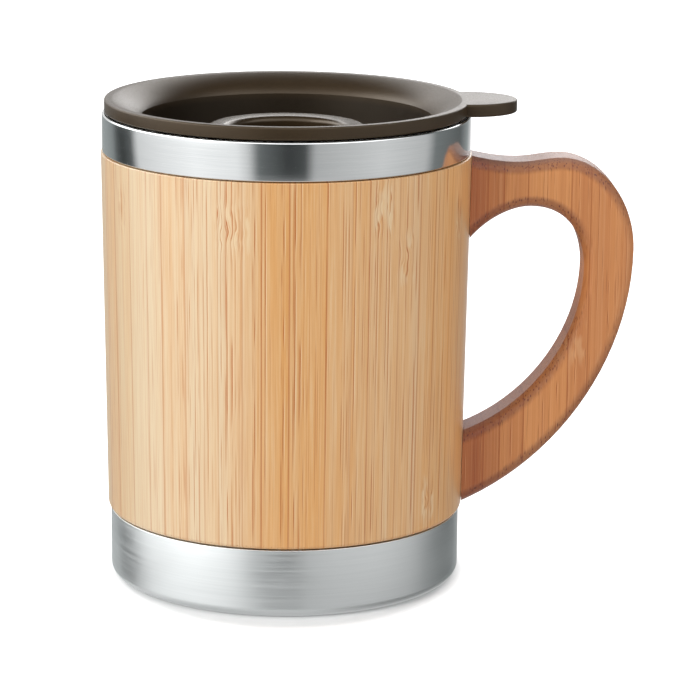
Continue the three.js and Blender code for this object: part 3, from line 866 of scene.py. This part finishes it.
# Brown polypropylene: a dull, warm brown, pale at a low angle, with painted shade that turns it dark down in
# the recess.
brown_plastic = moulded("moulded_brown_polypropylene", "#3a2d1d", "#2e2316", rough=0.36, grain_mm=0.3,
                        tint="#fff0dc", painted_shade_mm=(106.8, 104.5))
lid = turn("lid_moulding", [
    (stem_hole_radius, lid_floor_under),
    *corner(plug_radius, lid_floor_under, plug_foot_round, -90),
    *rib(seal_foot - running_gap - rib_width),
    *rib(seal_top + running_gap),
    *bend(plug_radius + under_fillet, lid_under - under_fillet, under_fillet, 180, 90),
    *corner(lid_radius, lid_under, lid_edge_round, -90, 5),
    *corner(lid_radius, lid_top, lid_edge_round, 0, 5),
    (lid_radius - lid_edge_round - crest_margin, lid_top),
    (bell_radius + crest_margin, lid_top),
    *bend(bell_radius + bell_wide * bell_in[0], lid_top - bell_tall * bell_up[0], bell_wide,
          90 + bell_start, 90 + bell_stop, 16, tall=bell_tall),
    (recess_floor_radius, lid_floor),
    (stem_hole_radius, lid_floor),
    (stem_hole_radius, lid_floor_under),
], brown_plastic)

tab_outline = disc(lid_radius, 0, tab_reach, tab_steps, tab_half_width)
tab_section = [(-x, z) for x, z in corner(0, lid_under, lid_edge_round, -90, 5)]
tab_section += [(inset, lid_under + lid_top - z - tab_sink) for inset, z in reversed(tab_section)]
tab = board("thumb_tab", tab_outline, tab_section, brown_plastic)
low, high = tab_clear_heights
tab_clear = turn("tab_clear", [(0, low), (tab_clear_radius, low), (tab_clear_radius, high), (0, high)],
                 brown_plastic)
tab = join(tab, tab_clear, "DIFFERENCE")
for name, outline in zip(("port", "vent"), openings(port_azimuth)):
    lid = join(lid, board(name, outline, floor_cut, brown_plastic), "DIFFERENCE")
stop_outline = round_spot(stop_radius, stop_track_radius, stop_azimuth)
stop_section = [(0, stop_root), (0, lid_floor + stop_height)]
lid = join(lid, board("stop", stop_outline, stop_section, brown_plastic), "UNION")
lid = join(lid, tab, "UNION", crease=21)
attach(lid, "lid")
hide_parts("lid_body")

# Closure dial
# A plate with a raised grip ring and a finger bar that turns on the lid's floor and opens the drinking port.
# The same brown polypropylene; its stem goes through the lid's floor, and a track under it meets the stop.
dial_under = 98.35
dial_top = 99.95
dial_radius = 31.9
dial_edge_round = 0.3
dial_travel = 90
grip_top = 104.0
grip_outer_radius = 18.2
grip_inner_radius = 13.5
grip_round = 1.3
grip_foot_round = 0.6
grip_slope = 0.3
grip_wall = 1.5
bar_half_width = 1.75
bar_half_length = 14.2
bar_top = 102.15
bar_edge_round = 0.5
bar_sink = 0.4
stem_radius = 3.0
clip_groove_radius = 2.3
clip_top = 96.45
clip_foot = 95.45
stem_end = 94.45
track_half_width = 1.3
track_depth = 0.85
dial_cut = [(0, 97), (0, 101)]
hollow_top = grip_top - grip_wall

# Smooth polypropylene: its mould is smoother than the lid's, so the crest of the ring shines; towards the
# plate it is painted darker: painted shade.
smooth_plastic = moulded("smooth_brown_polypropylene", "#3a2d1d", "#2e2316", rough=0.22, grain_mm=0.3,
                         tint="#fff0dc", painted_shade_mm=(102.0, 100.0))
dial = turn("closure_dial_moulding", [
    (0, stem_end),
    (stem_radius, stem_end),
    (stem_radius, clip_foot - running_gap),
    (clip_groove_radius, clip_foot - running_gap),
    (clip_groove_radius, clip_top),
    (stem_radius, clip_top),
    (stem_radius, dial_under),
    (grip_inner_radius + grip_wall, dial_under),
    (grip_inner_radius + grip_wall, hollow_top),
    (grip_outer_radius - grip_wall, hollow_top),
    (grip_outer_radius - grip_wall, dial_under),
    (dial_radius, dial_under),
    *corner(dial_radius, dial_top, dial_edge_round, 0, 4),
    *bend(grip_outer_radius + grip_foot_round, dial_top + grip_foot_round, grip_foot_round, 270, 180, 5),
    *corner(grip_outer_radius, grip_top, grip_round, 0),
    *corner(grip_inner_radius, grip_top - grip_slope, grip_round, 90),
    (grip_inner_radius, dial_top),
    (0, dial_top),
], smooth_plastic)
bar_section = [(0, dial_top - bar_sink)] + [(-x, z) for x, z in corner(0, bar_top, bar_edge_round, 0, 5)]
finger_bar = board("finger_bar", rectangle(bar_half_length, bar_half_width), bar_section, smooth_plastic)
slack = math.degrees(track_half_width / stop_track_radius)
track_outline = sector(stop_track_radius - track_half_width, stop_track_radius + track_half_width,
                       stop_azimuth - dial_travel - slack, stop_azimuth + slack)
track_section = [dial_cut[0], (0, dial_under + track_depth)]
dial = join(dial, board("track", track_outline, track_section, smooth_plastic), "DIFFERENCE")
for name, outline in zip(("window", "dial_vent"), openings(port_azimuth - dial_travel)):
    dial = join(dial, board(name, outline, dial_cut, smooth_plastic), "DIFFERENCE")
dial = join(dial, finger_bar, "UNION", crease=28)
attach(dial, "closure")
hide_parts("closure_dial")

# Dial clip
# An open ring pushed sideways into the groove of the dial's stem below the lid's floor.
# Stamped from a darker sheet of the same plastic, with slightly rounded edges.
clip_outer_radius = 5.5
clip_opening = 45
clip_edge = 0.15
clip_ease = 0.1
clip_drop = 0.075
clip_upper = clip_top - clip_drop
clip_outline = sector(clip_groove_radius + clip_ease, clip_outer_radius, clip_opening, 360 - clip_opening)
clip_section = [(clip_edge, clip_foot), (0, clip_foot + clip_edge), (0, clip_upper - clip_edge),
                (clip_edge, clip_upper)]
# Dark polypropylene: nearly black, with a dull shine.
clip_plastic = moulded("dark_polypropylene", "#3d3327", "#2f271d", rough=0.4, grain_mm=0.25, tint="#fff2e0")
dial_clip = board("stem_clip", clip_outline, clip_section, clip_plastic)
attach(dial_clip, "closure")
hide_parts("dial_clip")

# Studio
# A pale floor that keeps the cup's shadow, a big soft lamp on the left and a fill from the whole room.
# The floor is lifted to white from the first to the second reach, a little further out at front and back.
floor_half = 4
floor_level = -2e-5
shadow_reach = 36.5, 45.0
shadow_shape = (1, 0.83, 1)
floor_grey = (0.85, 0.85, 0.85, 1)
floor_lift = 0.9
floor = put_mesh("floor", [(x, y, floor_level) for x, y in rectangle(floor_half, floor_half)], [(0, 1, 2, 3)])
floor_paint, floor_tree = new_finish("white_sweep")
spot = node(floor_tree, "TexCoord", out="Object")
drawn_in = node(floor_tree, "Mapping", {"Vector": spot, "Scale": shadow_shape})
reach = node(floor_tree, "VectorMath", [drawn_in], "LENGTH", out="Value")
away = node(floor_tree, "MapRange", [reach, shadow_reach[0] * MM, shadow_reach[1] * MM], **soft)
matt = node(floor_tree, "BsdfDiffuse", {"Color": floor_grey})
seen = node(floor_tree, "LightPath", out="Is Camera Ray")
lifted = node(floor_tree, "Math", [away, seen], "MULTIPLY")
lift_level = node(floor_tree, "Math", [lifted, floor_lift], "MULTIPLY")
lift = node(floor_tree, "Emission", {"Strength": lift_level})
both = node(floor_tree, "AddShader", [matt, lift])
node(floor_tree, "OutputMaterial", {"Surface": both}, out=None)
floor.data.materials.append(floor_paint)
floor.visible_glossy = False

# The room that polished metal shows: azimuth from the camera's side, in degrees, and how bright it is there.
room_panels = [
    (-180, 0.38), (-166, 0.38), (-150, 0.33), (-140, 0.27), (-133, 0.11), (-126, 0.05), (-114, 0.1),
    (-107, 0.72), (-60, 1.05), (-32, 0.92), (-25, 0.66), (-19, 0.15), (-1, 0.05), (10, 0.07), (16, 0.47),
    (60, 0.68), (95, 0.52), (104, 0.2), (135, 0.12), (152, 0.32), (166, 0.75), (174, 0.85), (177, 0.45),
    (180, 0.38),
]
# Panels darker than this have less red in them.
dark_panel = 0.4
dark_red = 0.93
softbox_level = 2.2
left_lamp_level = 5.0
fill_level = 0.6
# Parts of the room by direction: its axis, where the part starts and is complete, and its level at both.
room_parts = {
    "downward": (2, -0.3, -0.55, 0, 1), "table": (0, 0.3, 0.8, 0.72, 0.15),
    "under_foot": (2, -0.5, -0.85, 1, 0.75), "behind": (1, 0.5, 0.8, 0, 1),
    "above_table": (2, -0.08, 0.06, 0, 1), "not_high": (2, 0.64, 0.52, 0, 1),
    "backdrop": (2, 0.32, 0.42, 0.8, 3.2), "ceiling": (2, 0.45, 0.65, 0, 0.75),
    "leftward": (0, -0.5, -0.8, 0, 1), "in_front": (1, 0, -0.3, 0, 1), "upward": (2, 0.2, 0.45, 0, 1),
    "not_overhead": (2, 0.95, 0.8, 0, 1), "lamp_height": (2, 0.25, 0.4, 0, 1),
    "lamp_side": (0, -0.6, -0.75, 0, 1),
}
soft_parts = "downward", "upward"
# Parts that show only where two others meet.
room_meetings = {
    "dimmed_table": ("table", "under_foot"), "backdrop_height": ("above_table", "not_high"),
    "at_backdrop": ("behind", "backdrop_height"), "front_height": ("upward", "not_overhead"),
    "at_front": ("front_height", "in_front"), "at_left": ("leftward", "above_table"),
    "at_left_lamp": ("lamp_height", "lamp_side"),
}
world = bpy.data.worlds.new("white_studio")
scene.world = world
world.use_nodes = True
room = world.node_tree
room.nodes.clear()
heading = node(room, "SeparateXYZ", [node(room, "TexCoord", out="Generated")], out=None)
toward = node(room, "Math", [heading[1], -1.0], "MULTIPLY")
bearing = node(room, "Math", [heading[0], toward], "ARCTAN2")
turned_share = node(room, "MapRange", [bearing, -math.pi, math.pi])
mirrored_room = node(room, "ValToRGB", [turned_share])
fill_ramp(mirrored_room, -180, 360, [
    (a, (level * (dark_red if level < dark_panel else 1.0), level, level, 1)) for a, level in room_panels])
part = {}
for name, (axis, start, complete, at_start, at_end) in room_parts.items():
    part[name] = node(room, "MapRange", [heading[axis], start, complete, at_start, at_end],
                      **(soft if name in soft_parts else {}))
for name, (one, other) in room_meetings.items():
    part[name] = node(room, "Math", [part[one], part[other]], "MULTIPLY")
at_softbox = node(room, "Math", [part["at_front"], part["at_left"]], "MAXIMUM")
for amount, light in ((part["ceiling"], (0, 0, 0, 1)), (part["at_backdrop"], part["backdrop"]),
                      (part["downward"], part["dimmed_table"]), (at_softbox, [softbox_level] * 3 + [1]),
                      (part["at_left_lamp"], [left_lamp_level] * 3 + [1])):
    mirrored_room = node(room, "Mix", {0: amount, 6: mirrored_room, 7: light}, **in_colour)
ray = node(room, "LightPath", out=None)
fill = node(room, "Mix", {0: ray["Is Glossy Ray"], 6: [fill_level] * 3 + [1], 7: mirrored_room}, **in_colour)
shown = node(room, "Mix", {0: ray["Is Camera Ray"], 6: fill, 7: (1, 1, 1, 1)}, **in_colour)
world.cycles.sampling_method = "NONE"
sky = node(room, "Background", {"Color": shown})
node(room, "OutputWorld", {"Surface": sky}, out=None)


def softbox(name, spot, wide, tall, watts, aim=(0, 0, 0.06), mirrored=False):
    """A large soft lamp; unless it is mirrored, what the steel shows is left to the room."""
    lamp = bpy.data.lights.new(name, "AREA")
    lamp.shape = "RECTANGLE"
    lamp.size = wide
    lamp.size_y = tall
    lamp.energy = watts
    made = put(name, lamp)
    made.location = spot
    made.rotation_euler = (Vector(aim) - Vector(spot)).to_track_quat("-Z", "Y").to_euler()
    made.visible_glossy = mirrored


softbox("left_softbox", (-1.38, -0.9, 0.9), 1.1, 1.1, 16)
softbox("top_softbox", (0.1, 0.0, 1.5), 1.2, 1.2, 2.5)
softbox("right_softbox", (1.5, -0.9, 0.7), 1.0, 1.0, 3.2)
softbox("back_softbox", (0.5, 1.45, 0.5), 0.8, 0.45, 2.6, aim=(0, 0, 0.1), mirrored=True)

# Camera
# Stands where the photograph was taken from: a long lens, a little above the cup and turned a little to it.
lens_mm = 168.905
camera_spot = Vector((-21.72, -734.42, 226.05)) * MM
yaw, pitch, roll = (math.radians(a) for a in (2.849, 13.346, 0.554))
ahead = Vector((math.sin(yaw) * math.cos(pitch), math.cos(yaw) * math.cos(pitch), -math.sin(pitch)))
level_right = Vector((math.cos(yaw), -math.sin(yaw), 0))
level_up = level_right.cross(ahead)
camera_right = math.cos(roll) * level_right + math.sin(roll) * level_up
camera_up = math.cos(roll) * level_up - math.sin(roll) * level_right
camera_lens = bpy.data.cameras.new("camera")
camera_lens.lens = lens_mm
camera_lens.sensor_width = 36
camera_lens.clip_start = 0.05
camera = put("camera", camera_lens)
facing = Matrix((camera_right, camera_up, -ahead)).transposed().to_4x4()
camera.matrix_world = Matrix.Translation(camera_spot) @ facing
scene.camera = camera
scene.view_settings.view_transform = "Standard"
